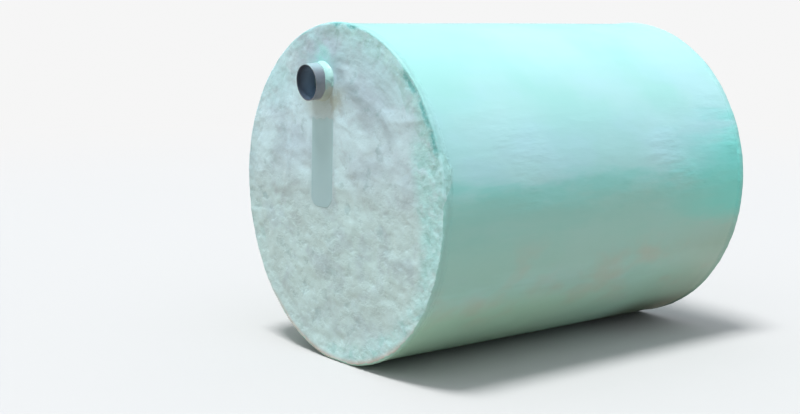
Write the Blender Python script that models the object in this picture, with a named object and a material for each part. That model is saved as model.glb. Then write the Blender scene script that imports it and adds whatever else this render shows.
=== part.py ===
"""A horizontal glass-fibre septic tank: a smooth moulded shell, two rough hand-laid end walls,
corner bonds that wrap over the shell, and a pipe stub with an inner baffle at each end.

Metres, +Z up. The tank's axis runs along +X, the inlet end faces -X, and the origin is the
centre of the footprint on the ground.
"""

import math

import bmesh
import bpy
from mathutils import Matrix

# Driving sizes of the tank
OUTER_RADIUS = 0.750
FACE_TO_FACE = 1.840
SHELL_THICKNESS = 0.006
END_WALL_THICKNESS = 0.008
BOND_THICKNESS = 0.0045
JOINT_GAP = 0.0003

# The round is drawn with this many sides, and the shell is built from staves of equal arc
SIDES = 120
STAVES = 20
SIDE_STEP = 2 * math.pi / SIDES
STRAIGHT_DOWN = -math.pi / 2

# The tank lies on a belly that its own weight has pressed flat, two sides each way from the bottom
BELLY_HALF_ANGLE = 2 * SIDE_STEP

# The corner bond: a skirt over the shell and a band on the end wall, both feathered at the edge
SHELL_RADIUS = OUTER_RADIUS - BOND_THICKNESS - JOINT_GAP
SKIRT_LENGTH = 0.055
BAND_INNER_RADIUS = 0.648
FEATHER_LENGTH = 0.025
FEATHER_THICKNESS = 0.0015
CORNER_RADIUS = 0.007
CORNER_STEPS = 4

# Pipe stubs: 160 mm pipe, off the centre line as on the real tank, with the outlet 50 mm lower
PIPE_OUTER_RADIUS = 0.080
PIPE_WALL = 0.004
PIPE_SIDES = 48
PIPE_OFFSET = 0.109
PIPE_STANDS_OUT = 0.090
INLET_ABOVE_AXIS = 0.493
OUTLET_DROP = 0.050

# The sleeve of mat round each stub, flared a little where it meets the end wall
COLLAR_LENGTH = 0.040
COLLAR_FOOT_RADIUS = 0.098
COLLAR_LIP = 0.005
COLLAR_FOOT_HEIGHT = 0.0025
COLLAR_STEPS = 6

# The half-round baffle inside each end, and the smooth strip over its bond line outside
BAFFLE_OUTER_RADIUS = 0.083
BAFFLE_WALL = 0.005
BAFFLE_LEG = 0.020
BAFFLE_STEPS = 16
BAFFLE_TOP_ABOVE_PIPE = 0.120
BAFFLE_FOOT_BELOW_AXIS = 0.0675
STRIP_WIDTH = 0.165
STRIP_THICKNESS = 0.005
STRIP_EDGE = 0.003
STRIP_EDGE_STEPS = 2
STRIP_CORNER_RADIUS = 0.035
STRIP_CORNER_STEPS = 6

# Heights and planes that follow from the sizes above; the planes are distances from mid length
AXIS_HEIGHT = OUTER_RADIUS * math.cos(BELLY_HALF_ANGLE)
WALL_OUTER_FACE = FACE_TO_FACE / 2 - BOND_THICKNESS - JOINT_GAP
WALL_INNER_FACE = WALL_OUTER_FACE - END_WALL_THICKNESS
SHELL_END = WALL_INNER_FACE - JOINT_GAP

SMOOTH_ANGLE = math.radians(35)
MERGE_DISTANCE = 1e-6
ROUND_PROFILE = 0.5

# Each finish has a linear colour and a roughness
FINISHES = {
    "aqua gelcoat": ((0.35, 0.69, 0.68), 0.30),
    "end wall laminate": ((0.49, 0.66, 0.74), 0.60),
    "corner mat": ((0.38, 0.67, 0.66), 0.65),
    "smooth strip": ((0.36, 0.58, 0.63), 0.50),
    "grey pipe": ((0.24, 0.28, 0.33), 0.40),
}


def clear_scene():
    for thing in list(bpy.data.objects):
        bpy.data.objects.remove(thing)


def material(name):
    colour, roughness = FINISHES[name]
    made = bpy.data.materials.new(name)
    made.use_nodes = True
    shader = made.node_tree.nodes["Principled BSDF"]
    shader.inputs["Base Color"].default_value = (*colour, 1.0)
    shader.inputs["Roughness"].default_value = roughness
    shader.inputs["Metallic"].default_value = 0.0
    return made


def object_from(name, bm, finish, parent=None, location=(0, 0, 0)):
    """Turns a bmesh into one named object with outward normals and smooth round faces."""
    bmesh.ops.remove_doubles(bm, verts=bm.verts, dist=MERGE_DISTANCE)
    bmesh.ops.recalc_face_normals(bm, faces=bm.faces)
    mesh = bpy.data.meshes.new(name)
    bm.to_mesh(mesh)
    bm.free()
    mesh.shade_smooth()
    mesh.set_sharp_from_angle(angle=SMOOTH_ANGLE)
    mesh.materials.append(finish)
    made = bpy.data.objects.new(name, mesh)
    made.location = location
    made.parent = parent
    bpy.context.scene.collection.objects.link(made)
    return made


def turned(section, sides, start=0.0, steps=None):
    """Spins a closed section of (x, radius) points about the X axis. With steps it sweeps that
    many sides from the start angle and closes both ends, and without it goes all the way round.
    Angles run from +Y towards +Z."""
    bm = bmesh.new()
    ring = [bm.verts.new((x, r * math.cos(start), r * math.sin(start))) for x, r in section]
    edges = [bm.edges.new((ring[i - 1], ring[i])) for i in range(len(ring))]
    whole = steps is None
    swept = bmesh.ops.spin(
        bm,
        geom=ring + edges,
        cent=(0, 0, 0),
        axis=(1, 0, 0),
        angle=2 * math.pi if whole else steps * 2 * math.pi / sides,
        steps=sides if whole else steps,
        use_merge=whole,
    )
    if not whole:
        bm.faces.new(ring)
        last = [edge for edge in swept["geom_last"] if isinstance(edge, bmesh.types.BMEdge)]
        bmesh.ops.edgeloop_fill(bm, edges=last)
    return bm


def press_belly(bm):
    """Moves what lies near straight down onto the flat that the tank rests on."""
    for vert in bm.verts:
        off_down = math.atan2(vert.co.y, -vert.co.z)
        if abs(off_down) < BELLY_HALF_ANGLE:
            squash = math.cos(BELLY_HALF_ANGLE) / math.cos(off_down)
            vert.co.y *= squash
            vert.co.z *= squash


def arc(centre_x, centre_r, radius, start, end, steps):
    """Points of (x, radius) on an arc, with the angle in radians from +x towards +radius."""
    turns = [start + (end - start) * i / steps for i in range(steps + 1)]
    return [(centre_x + radius * math.cos(t), centre_r + radius * math.sin(t)) for t in turns]


def facing(side, section):
    """Mirrors a section drawn for the +X end to the end that the side names, -1 or +1."""
    return [(side * x, r) for x, r in section]


def shell_staves(finish, tank):
    inner = SHELL_RADIUS - SHELL_THICKNESS
    section = [
        (-SHELL_END, inner),
        (SHELL_END, inner),
        (SHELL_END, SHELL_RADIUS),
        (-SHELL_END, SHELL_RADIUS),
    ]
    steps = SIDES // STAVES
    for number in range(STAVES):
        start = STRAIGHT_DOWN + (number - 0.5) * steps * SIDE_STEP
        bm = turned(section, SIDES, start, steps)
        open_joint(bm, start)
        press_belly(bm)
        object_from(f"shell_segment_{number + 1:02d}", bm, finish, tank)


def open_joint(bm, start):
    """Turns the first side of a stave forward a little, so that it clears the one before."""
    gap_angle = JOINT_GAP / SHELL_RADIUS
    for vert in bm.verts:
        turn = math.atan2(vert.co.z, vert.co.y) - start
        if abs(math.remainder(turn, 2 * math.pi)) < SIDE_STEP / 4:
            vert.co = Matrix.Rotation(gap_angle, 3, "X") @ vert.co


def end_wall(name, side, pipe_height, finish, tank):
    """A flat disc with its outer edge rounded, cut for the pipe."""
    bm = bmesh.new()
    bmesh.ops.create_circle(bm, cap_ends=True, segments=SIDES, radius=SHELL_RADIUS)
    bmesh.ops.rotate(bm, verts=bm.verts, matrix=Matrix.Rotation(side * math.pi / 2, 3, "Y"))
    bmesh.ops.translate(bm, verts=bm.verts, vec=(side * WALL_INNER_FACE, 0, 0))
    grown = bmesh.ops.extrude_face_region(bm, geom=bm.faces[:])["geom"]
    outer_face = [g for g in grown if isinstance(g, bmesh.types.BMVert)]
    bmesh.ops.translate(bm, verts=outer_face, vec=(side * END_WALL_THICKNESS, 0, 0))
    rim = [e for e in bm.edges if all(v in outer_face for v in e.verts)]
    bmesh.ops.bevel(
        bm,
        geom=rim,
        offset=CORNER_RADIUS,
        segments=CORNER_STEPS,
        profile=ROUND_PROFILE,
        affect="EDGES",
    )
    press_belly(bm)
    wall = object_from(name, bm, finish, tank)
    hole = cylinder_cutter(name + "_cutter", PIPE_OUTER_RADIUS + JOINT_GAP, side, pipe_height, tank)
    cut(wall, hole)


def cylinder_cutter(name, radius, side, pipe_height, tank):
    """A hidden cylinder on the pipe's axis, long enough to pass through everything at that end."""
    reach = PIPE_STANDS_OUT + END_WALL_THICKNESS
    bm = bmesh.new()
    bmesh.ops.create_cone(
        bm,
        cap_ends=True,
        segments=PIPE_SIDES,
        radius1=radius,
        radius2=radius,
        depth=2 * reach,
        matrix=Matrix.Rotation(math.pi / 2, 4, "Y"),
    )
    mesh = bpy.data.meshes.new(name)
    bm.to_mesh(mesh)
    bm.free()
    cutter = bpy.data.objects.new(name, mesh)
    cutter.location = (side * WALL_OUTER_FACE, PIPE_OFFSET, pipe_height)
    cutter.parent = tank
    cutter.display_type = "WIRE"
    cutter.hide_render = True
    bpy.context.scene.collection.objects.link(cutter)
    return cutter


def cut(target, cutter):
    boolean = target.modifiers.new("Cut", "BOOLEAN")
    boolean.operation = "DIFFERENCE"
    boolean.solver = "EXACT"
    boolean.object = cutter


def corner_bond(name, side, finish, tank):
    """The mat that joins wall to shell: it follows the wall's rounded corner at one thickness,
    and thins towards the edge of the skirt and the inner edge of the band."""
    under = SHELL_RADIUS + JOINT_GAP
    face = WALL_OUTER_FACE + JOINT_GAP
    bend_x = face - CORNER_RADIUS - JOINT_GAP
    bend_r = under - CORNER_RADIUS - JOINT_GAP
    inside = CORNER_RADIUS + JOINT_GAP
    outside = inside + BOND_THICKNESS
    skirt_edge = WALL_OUTER_FACE - SKIRT_LENGTH
    section = [(skirt_edge, under)]
    section += arc(bend_x, bend_r, inside, math.pi / 2, 0, CORNER_STEPS)
    section += [
        (face, BAND_INNER_RADIUS),
        (face + FEATHER_THICKNESS, BAND_INNER_RADIUS),
        (face + BOND_THICKNESS, BAND_INNER_RADIUS + FEATHER_LENGTH),
    ]
    section += arc(bend_x, bend_r, outside, 0, math.pi / 2, CORNER_STEPS)
    section += [
        (skirt_edge + FEATHER_LENGTH, under + BOND_THICKNESS),
        (skirt_edge, under + FEATHER_THICKNESS),
    ]
    bm = turned(facing(side, section), SIDES, STRAIGHT_DOWN)
    press_belly(bm)
    object_from(name, bm, finish, tank)


def pipe_stub(name, side, pipe_height, finish, tank):
    mouth = WALL_OUTER_FACE + PIPE_STANDS_OUT
    bore = PIPE_OUTER_RADIUS - PIPE_WALL
    section = [
        (WALL_INNER_FACE, bore),
        (mouth, bore),
        (mouth, PIPE_OUTER_RADIUS),
        (WALL_INNER_FACE, PIPE_OUTER_RADIUS),
    ]
    bm = turned(facing(side, section), PIPE_SIDES)
    object_from(name, bm, finish, tank, (0, PIPE_OFFSET, pipe_height))


def pipe_collar(name, side, pipe_height, finish, tank):
    """A hollow-sided sleeve of mat between the stub and the end wall: its outline is a quarter of
    an ellipse, along the pipe at its tip and flat on the wall at its foot."""
    inner = PIPE_OUTER_RADIUS + JOINT_GAP
    lip = inner + COLLAR_LIP
    foot = WALL_OUTER_FACE + JOINT_GAP
    flare = COLLAR_FOOT_RADIUS - lip
    rise = COLLAR_LENGTH - COLLAR_FOOT_HEIGHT
    turns = [math.pi / 2 * i / COLLAR_STEPS for i in range(COLLAR_STEPS + 1)]
    section = [(foot, inner), (foot, COLLAR_FOOT_RADIUS)]
    section += [
        (
            foot + COLLAR_FOOT_HEIGHT + rise * (1 - math.cos(t)),
            COLLAR_FOOT_RADIUS - flare * math.sin(t),
        )
        for t in turns
    ]
    section += [(foot + COLLAR_LENGTH, inner)]
    bm = turned(facing(side, section), PIPE_SIDES)
    object_from(name, bm, finish, tank, (0, PIPE_OFFSET, pipe_height))


def baffle(name, side, pipe_height, finish, tank):
    """A half-round channel with short straight legs, standing against the inner face of the wall
    over the pipe's mouth, open at its top and foot."""
    root = WALL_INNER_FACE - JOINT_GAP
    bend = root - BAFFLE_LEG
    turns = [math.pi * i / BAFFLE_STEPS for i in range(BAFFLE_STEPS + 1)]
    outline = [(root, BAFFLE_OUTER_RADIUS)]
    outline += [
        (bend - BAFFLE_OUTER_RADIUS * math.sin(t), BAFFLE_OUTER_RADIUS * math.cos(t))
        for t in turns
    ]
    outline += [(root, -BAFFLE_OUTER_RADIUS)]
    hollow = BAFFLE_OUTER_RADIUS - BAFFLE_WALL
    outline += [(root, -hollow)]
    outline += [(bend - hollow * math.sin(t), hollow * math.cos(t)) for t in reversed(turns)]
    outline += [(root, hollow)]
    top = pipe_height + BAFFLE_TOP_ABOVE_PIPE
    bm = bmesh.new()
    base = bm.faces.new(
        [bm.verts.new((side * x, y, -BAFFLE_FOOT_BELOW_AXIS)) for x, y in outline]
    )
    grown = bmesh.ops.extrude_face_region(bm, geom=[base])["geom"]
    lifted = [g for g in grown if isinstance(g, bmesh.types.BMVert)]
    bmesh.ops.translate(bm, verts=lifted, vec=(0, 0, top + BAFFLE_FOOT_BELOW_AXIS))
    object_from(name, bm, finish, tank, (0, PIPE_OFFSET, 0))


def baffle_strip(name, side, pipe_height, finish, tank):
    """The smooth strip down the outside of the wall: a flat plate with soft edges and rounded
    lower corners, coped at its top to the collar."""
    half = STRIP_WIDTH / 2
    corner = half - STRIP_CORNER_RADIUS
    foot = -BAFFLE_FOOT_BELOW_AXIS
    bend = foot + STRIP_CORNER_RADIUS
    quarter = [math.pi / 2 * i / STRIP_CORNER_STEPS for i in range(STRIP_CORNER_STEPS + 1)]
    outline = [(half, pipe_height)]
    outline += [
        (corner + STRIP_CORNER_RADIUS * math.cos(t), bend - STRIP_CORNER_RADIUS * math.sin(t))
        for t in quarter
    ]
    outline += [
        (-corner - STRIP_CORNER_RADIUS * math.sin(t), bend - STRIP_CORNER_RADIUS * math.cos(t))
        for t in quarter
    ]
    outline += [(-half, pipe_height)]
    root = WALL_OUTER_FACE + JOINT_GAP
    bm = bmesh.new()
    back = bm.faces.new([bm.verts.new((side * root, y, z)) for y, z in outline])
    grown = bmesh.ops.extrude_face_region(bm, geom=[back])["geom"]
    front = [g for g in grown if isinstance(g, bmesh.types.BMVert)]
    bmesh.ops.translate(bm, verts=front, vec=(side * STRIP_THICKNESS, 0, 0))
    rim = [e for e in bm.edges if all(v in front for v in e.verts)]
    bmesh.ops.bevel(
        bm,
        geom=rim,
        offset=STRIP_EDGE,
        segments=STRIP_EDGE_STEPS,
        profile=ROUND_PROFILE,
        affect="EDGES",
    )
    strip = object_from(name, bm, finish, tank, (0, PIPE_OFFSET, 0))
    clear = COLLAR_FOOT_RADIUS + JOINT_GAP
    cut(strip, cylinder_cutter(name + "_cutter", clear, side, pipe_height, tank))


def tank_end(prefix, side, pipe_height, finishes, tank):
    gelcoat, laminate, mat, smooth, grey = finishes
    end_wall(prefix + "_end_wall", side, pipe_height, laminate, tank)
    corner_bond(prefix + "_corner_bond", side, mat, tank)
    pipe_stub(prefix + "_pipe", side, pipe_height, grey, tank)
    pipe_collar(prefix + "_pipe_collar", side, pipe_height, gelcoat, tank)
    baffle(prefix + "_baffle", side, pipe_height, mat, tank)
    baffle_strip(prefix + "_baffle_strip", side, pipe_height, smooth, tank)


def main():
    clear_scene()
    finishes = [material(name) for name in FINISHES]
    tank = bpy.data.objects.new("tank_axis", None)
    tank.location = (0, 0, AXIS_HEIGHT)
    bpy.context.scene.collection.objects.link(tank)
    shell_staves(finishes[0], tank)
    tank_end("inlet", -1, INLET_ABOVE_AXIS, finishes, tank)
    tank_end("outlet", 1, INLET_ABOVE_AXIS - OUTLET_DROP, finishes, tank)


main()
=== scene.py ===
"""The looks of a glass-fibre septic tank: a glossy aqua shell, rough hand-laid ends with a mat that
wraps over the shell's rim, grey pipe stubs in painted sleeves, and a smooth strip below each stub.

Every piece is a surface worked out with numpy and placed from the frame's own boxes.
"""

import math
from itertools import product

import bpy
import numpy as np
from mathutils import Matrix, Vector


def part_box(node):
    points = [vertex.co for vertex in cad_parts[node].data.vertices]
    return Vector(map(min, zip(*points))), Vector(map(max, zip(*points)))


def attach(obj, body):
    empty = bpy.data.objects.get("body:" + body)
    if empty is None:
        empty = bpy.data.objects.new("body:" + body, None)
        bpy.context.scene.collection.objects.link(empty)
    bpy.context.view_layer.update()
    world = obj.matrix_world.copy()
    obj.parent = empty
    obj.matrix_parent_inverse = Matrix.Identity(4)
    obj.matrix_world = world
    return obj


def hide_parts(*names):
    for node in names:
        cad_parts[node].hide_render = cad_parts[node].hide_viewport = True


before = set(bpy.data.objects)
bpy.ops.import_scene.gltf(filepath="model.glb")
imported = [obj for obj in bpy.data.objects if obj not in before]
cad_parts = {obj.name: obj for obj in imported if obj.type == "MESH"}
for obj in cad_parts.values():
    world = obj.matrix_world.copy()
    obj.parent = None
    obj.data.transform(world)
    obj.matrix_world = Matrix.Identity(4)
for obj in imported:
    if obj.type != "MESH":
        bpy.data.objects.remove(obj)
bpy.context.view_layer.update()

TURN = 2 * math.pi
DOWN = -math.pi / 2
MM = 0.001

# Points on the mat are scaled by this before the noise, which draws its marks out sideways
DRAWN_OUT = (1, 0.78, 1)

# Laps in the end's mat: height of the line above the floor, step, and breadth that it fades over
LEDGES = [(1.12, 0.0012, 0.20), (0.88, 0.0045, 0.24), (0.60, 0.0030, 0.22)]

# How far the mat's relief is set back as a whole
MAT_SET_BACK = 0.4 * MM

# Where the corner's mat starts on the end, measured from the tank's axis, and how far it runs on
# along the shell
MAT_EDGE = 0.655
MAT_SKIRT = 0.040

# How far the collar and the strip reach in behind the end's face
TUCK = 1.5 * MM

# The amount that rounds the crests of the mat's folds
CREST = 0.08

# Gaps under the mat's lifted edges at the inlet rim: angle and half breadth in degrees, place
# along the section and spread in metres
RIM_GAPS = [
    (91.0, 2.2, -0.008, 0.009),
    (99.5, 3.2, -0.010, 0.009),
    (135.5, 5.5, -0.024, 0.018),
    (147.5, 5.5, -0.020, 0.015),
    (157.5, 4.5, -0.018, 0.017),
    (160.5, 2.2, -0.080, 0.020),
    (173.0, 2.2, 0.052, 0.009),
]

# The unpainted patch of mat on the inlet rim: angle and half breadth in degrees
BARE_AT = 168.5
BARE_BREADTH = 8.5

# How far below the stub's axis the mat round the stub ends, and its height over the strip
ROOT_MAT = 0.165
ROOT_MAT_HEIGHT = 0.0022

# The strip: how far it runs off to the side at its foot, the rounding of its corners, its soft
# edge, its height over the mat, and the height above the floor from which it is stained, partly
# as the stub's painted shadow
STRIP_LEAN = 0.020
STRIP_ROUNDING = 0.055
STRIP_SOFT = 0.003
STRIP_HEIGHT = 0.0011
STRIP_STAIN_AND_SHADE_FROM = 1.07

# The stub: its wall, the rounding of its lip, the sag of its mouth, and the slant of the saw cut
PIPE_WALL = 0.004
PIPE_LIP = 0.0008
PIPE_SAG = 0.004
OUT_OF_SQUARE = 0.075

# The collar: the skin of mat round the stub, and how far its foot stays inside the solid's
SLEEVE = 0.0026
FOOT_INSIDE = 0.008

# The camera's place and turn, in metres and degrees; the lens is for a sensor 36 mm wide
CAMERA_PLACE = (-4.0051, -4.5134, 1.4695)
CAMERA_YAW = -37.26
CAMERA_TILT = 90 - 8.08
CAMERA_LENS = 56.78

# Light: a pale surround that dims low down, one broad soft light from high up, a pale floor for
# the eye alone, and a dull one that the gloss picks up
SKY_HIGH = (0.78, 0.82, 0.86)
SKY_LOW = (0.38, 0.44, 0.44)
SKY_FROM = 0.10
SKY_TO = 0.50
KEY_STRENGTH = 3.4
KEY_SPREAD = 16
KEY_LEAN = 12
FLOOR_COLOUR = (0.50, 0.50, 0.50)
BACKDROP_GLOW = 0.92
GROUND_COLOUR = (0.48, 0.38, 0.31)

# Finishes, as linear colours
AQUA = (0.365, 0.665, 0.68)
AQUA_DEEP = (0.31, 0.645, 0.63)
AQUA_BLUE = (0.38, 0.65, 0.78)
AQUA_BAND = (0.20, 0.60, 0.59)
AQUA_LOW = (0.25, 0.52, 0.49)
AQUA_FAR = (0.12, 0.66, 0.62)
AQUA_FOOT = (0.34, 0.65, 0.56)
AQUA_DIM = (0.27, 0.36, 0.30)
AQUA_GRIME_AND_SHADE = (0.075, 0.15, 0.115)
PAINT_BRIGHT = (0.41, 0.69, 0.67)
PAINT_EDGE = (0.25, 0.48, 0.48)
DUST = (0.50, 0.38, 0.34)
GLASS_PALE = (0.54, 0.77, 0.86)
GLASS_LILAC = (0.47, 0.64, 0.75)
GLASS_GREY = (0.32, 0.45, 0.51)
GLASS_MINT = (0.34, 0.66, 0.67)
GLASS_LOW_SHADE = (0.42, 0.595, 0.585)
GLASS_LIGHT = (0.60, 0.82, 0.88)
GLASS_PIT = (0.21, 0.37, 0.40)
GLASS_SPRAY = (0.47, 0.79, 0.86)
MINT_LIGHT = (0.46, 0.78, 0.79)
MINT_DARK = (0.26, 0.52, 0.51)
STAIN_AND_SHADE = (0.34, 0.42, 0.38)
SHADE_TEAL = (0.12, 0.45, 0.46)
STRIP_TEAL = (0.35, 0.57, 0.62)
STRIP_PALE = (0.38, 0.60, 0.65)
STRIP_LOW = (0.325, 0.515, 0.56)
PIPE_GREY = (0.17, 0.20, 0.24)
PIPE_WORN = (0.24, 0.27, 0.31)
PIPE_TOP_LIGHT = (0.38, 0.55, 0.60)
BORE_DARK = (0.056, 0.078, 0.112)
BORE_SLATE = (0.21, 0.33, 0.47)
BAFFLE_DAMP = (0.20, 0.22, 0.17)


def smooth_noise(points, cell, seed):
    """Value noise from -1 to 1: a hashed random number at each point of a cubic lattice of this
    cell size, blended between the eight round a point with the ease curve 3t^2 - 2t^3."""
    scaled = points / cell
    corner = np.floor(scaled).astype(np.int64)
    part = scaled - corner
    ease = part * part * (3 - 2 * part)
    total = np.zeros(points.shape[:-1])
    for offset in product((0, 1), repeat=3):
        x, y, z = (corner[..., k] + offset[k] for k in range(3))
        key = (x * 73856093) ^ (y * 19349663) ^ (z * 83492791) ^ (seed * 2654435761)
        key = (key ^ (key >> 13)) * 1274126177 & 0x7FFFFFFF
        key = (key ^ (key >> 16)) * 668265263 & 0x7FFFFFFF
        value = (key & 0xFFFFF) / 0x7FFFF - 1
        weight = np.prod(np.where(offset, ease, 1 - ease), axis=-1)
        total += weight * value
    return total


def lumps(points, layers):
    """Sums layers of smooth noise, each given as (cell size, height, seed)."""
    return sum(height * smooth_noise(points, cell, seed) for cell, height, seed in layers)


def ramp(value, low, high):
    """Eases from 0 at low to 1 at high with 3t^2 - 2t^3."""
    t = np.clip((value - low) / (high - low), 0, 1)
    return t * t * (3 - 2 * t)


def around(count, start=0.0):
    """Evenly spaced angles, once round."""
    return start + TURN * np.arange(count) / count


def lattice(rows, columns, closed_rows=True, closed_columns=True):
    """Quads between the points of a grid, joined back to its start where it is closed."""
    row = np.arange(rows if closed_rows else rows - 1)[:, None]
    column = np.arange(columns if closed_columns else columns - 1)[None, :]
    next_row, next_column = (row + 1) % rows, (column + 1) % columns
    corners = (
        row * columns + column,
        next_row * columns + column,
        next_row * columns + next_column,
        row * columns + next_column,
    )
    return np.stack([np.broadcast_arrays(*corners)[k] for k in range(4)], -1).reshape(-1, 4)


def volume(points, faces):
    """Six times the signed volume, which is negative when the faces point inwards."""
    a, b, c, d = (points[faces[:, k]] for k in range(4))
    return np.sum(np.cross(b, c) * a) + np.sum(np.cross(c, d) * a)


def piece(name, grid, finish, nodes, closed=(True, True), marks=None):
    """Makes one closed piece from a grid of points, and lets it stand for its solids."""
    points = grid.reshape(-1, 3)
    faces = lattice(grid.shape[0], grid.shape[1], *closed)
    if volume(points, faces) < 0:
        faces = faces[:, ::-1]
    mesh = bpy.data.meshes.new(name)
    mesh.from_pydata(points.tolist(), [], faces.tolist())
    for label, values in (marks or {}).items():
        layer = mesh.attributes.new(label, "FLOAT", "POINT")
        layer.data.foreach_set("value", values.astype(np.float32).ravel())
    mesh.shade_smooth()
    mesh.set_sharp_from_angle(angle=math.radians(50))
    mesh.materials.append(finish)
    made = bpy.data.objects.new(name, mesh)
    bpy.context.scene.collection.objects.link(made)
    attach(made, "root")
    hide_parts(*nodes)
    return made


class Tank:
    """The tank's own measures, read from the frame."""

    bond_low, bond_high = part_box("inlet_corner_bond")
    wall_low, wall_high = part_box("inlet_end_wall")
    rim = (bond_high.y - bond_low.y) / 2
    axis = bond_high.z - rim
    face = -wall_low.x
    wall = wall_high.x - wall_low.x
    bond = wall_low.x - bond_low.x
    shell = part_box("shell_segment_11")[1].z - axis
    shell_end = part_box("shell_segment_11")[1].x
    shell_wall = 0.006
    belly = math.acos(axis / rim)
    corner = 0.007


class End:
    """The measures of one end: the side it faces along X, its pipe, collar and strip."""

    def __init__(self, label, side):
        self.label = label
        self.side = side
        low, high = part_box(label + "_pipe")
        self.pipe_y = (low.y + high.y) / 2
        self.pipe_z = (low.z + high.z) / 2
        self.pipe_radius = (high.y - low.y) / 2
        self.mouth = max(abs(low.x), abs(high.x))
        low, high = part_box(label + "_pipe_collar")
        self.collar_radius = (high.y - low.y) / 2
        self.collar_tip = max(abs(low.x), abs(high.x))
        low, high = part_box(label + "_baffle_strip")
        self.strip_half = (high.y - low.y) / 2
        self.strip_foot = low.z
        self.seed = 100 * (side + 2)


def press_belly(y, z):
    """Moves what lies within the belly's angle of straight down up to the flat it rests on. y and
    z are measured from the tank's axis."""
    off_down = np.abs(np.arctan2(y, -z))
    squash = np.where(off_down < Tank.belly, math.cos(Tank.belly) / np.cos(off_down), 1.0)
    return y * squash, z * squash


def round_axis(x, radius, angle):
    """Points at a distance from the tank's axis, in metres of the frame, with the belly pressed.
    Angles run from +Y towards +Z."""
    y, z = press_belly(radius * np.cos(angle), radius * np.sin(angle))
    x, y, z = np.broadcast_arrays(x, y, z)
    return np.stack([x, y, z + Tank.axis], -1)


def shell_skin(finish):
    """The shell as one moulding: radius = shell radius - waves, with x and angle as parameters.
    The waves are long and shallow along the tank, stronger low on its sides, and die out under
    the corner bonds. The inner wall follows at the shell's thickness."""
    along = np.linspace(-Tank.shell_end, Tank.shell_end, 150)
    angle = around(360, DOWN)
    x, turn = np.meshgrid(along, angle, indexing="ij")
    flat = round_axis(x, Tank.shell, turn)
    stretched = flat * (0.35, 1, 1)
    waves = lumps(stretched, [(0.31, 0.9 * MM, 1), (0.13, 0.5 * MM, 2), (0.06, 0.25 * MM, 3)])
    waves += 0.12 * MM * smooth_noise(flat, 0.03, 4)
    fade = ramp(Tank.shell_end - np.abs(x), 0.03, 0.12)
    outer = Tank.shell - (waves + 1.2 * MM) * fade
    inner_x = np.linspace(Tank.shell_end, -Tank.shell_end, 12)
    inner_x, inner_turn = np.meshgrid(inner_x, angle, indexing="ij")
    grid = np.concatenate([
        round_axis(x, outer, turn),
        round_axis(inner_x, Tank.shell - Tank.shell_wall, inner_turn),
    ])
    names = [f"shell_segment_{number + 1:02d}" for number in range(20)]
    return piece("tank_shell", grid, finish, names)


def creases(points, cell, seed):
    """Lines of ridge: (1 - 2 |n|)^2 where n is smooth noise, so a ridge stands where n is 0. A
    small amount c rounds the crest: |n| is taken as sqrt(n^2 + c^2) - c."""
    away = np.hypot(smooth_noise(points, cell, seed), CREST) - CREST
    return np.maximum(1 - 2 * away, 0) ** 2


def ledges(points, seed):
    """Where one length of mat laps over the next: the height steps out just below a wandering
    level line and eases back over the breadth that the list of laps gives."""
    total = np.zeros(points.shape[:-1])
    for number, (level, height, tail) in enumerate(LEDGES):
        near = seed + 40 + 3 * number
        line = level + 0.06 * smooth_noise(points * (0, 1, 0), 0.20, near)
        strong = ramp(smooth_noise(points * (0, 1, 0), 0.17, near + 1), -0.3, 0.6)
        below = line - points[..., 2]
        total += height * strong * ramp(below, 0, 0.045) * (1 - ramp(below, 0.05, tail))
    return total


def laminate_height(points, seed):
    """How far the hand-laid mat stands out: broad swells, folds and laps, small lumps that are
    strongest low down, coarse lumps that grow towards the rim, and soft dents away from it.
    Swells, folds and dents swirl, because their points are first pushed about by noise."""
    drawn = points * DRAWN_OUT
    push = [smooth_noise(drawn, 0.17, seed + number) for number in range(3)]
    swirled = drawn + 0.04 * np.stack(push, -1)
    broad = lumps(swirled, [(0.21, 5.0 * MM, seed + 3), (0.10, 3.8 * MM, seed + 4)])
    strong = 0.45 + 0.55 * ramp(smooth_noise(points, 0.30, seed + 5), -0.5, 0.4)
    folds = 4.2 * MM * creases(swirled, 0.17, seed + 6)
    folds += ledges(points, seed)
    small = lumps(drawn, [
        (0.050, 1.3 * MM, seed + 8),
        (0.026, 0.6 * MM, seed + 7),
        (0.014, 0.25 * MM, seed + 15),
    ])
    small *= 0.75 + 0.75 * ramp(points[..., 2], 1.0, 0.6)
    off_axis = np.hypot(points[..., 1], points[..., 2] - Tank.axis)
    at_rim = ramp(off_axis, 0.60, 0.72)
    coarse = lumps(points, [(0.024, 1.5 * MM, seed + 9), (0.012, 0.8 * MM, seed + 10)])
    hollows = smooth_noise(swirled * (1, 0.7, 1), 0.05, seed + 11)
    dents = 1.8 * MM * ramp(hollows, -0.30, -0.90)
    swells = broad * (1 - 0.55 * at_rim) + folds * strong * (1 - 0.4 * at_rim)
    return swells + small + coarse * at_rim - dents * (1 - at_rim)


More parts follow.
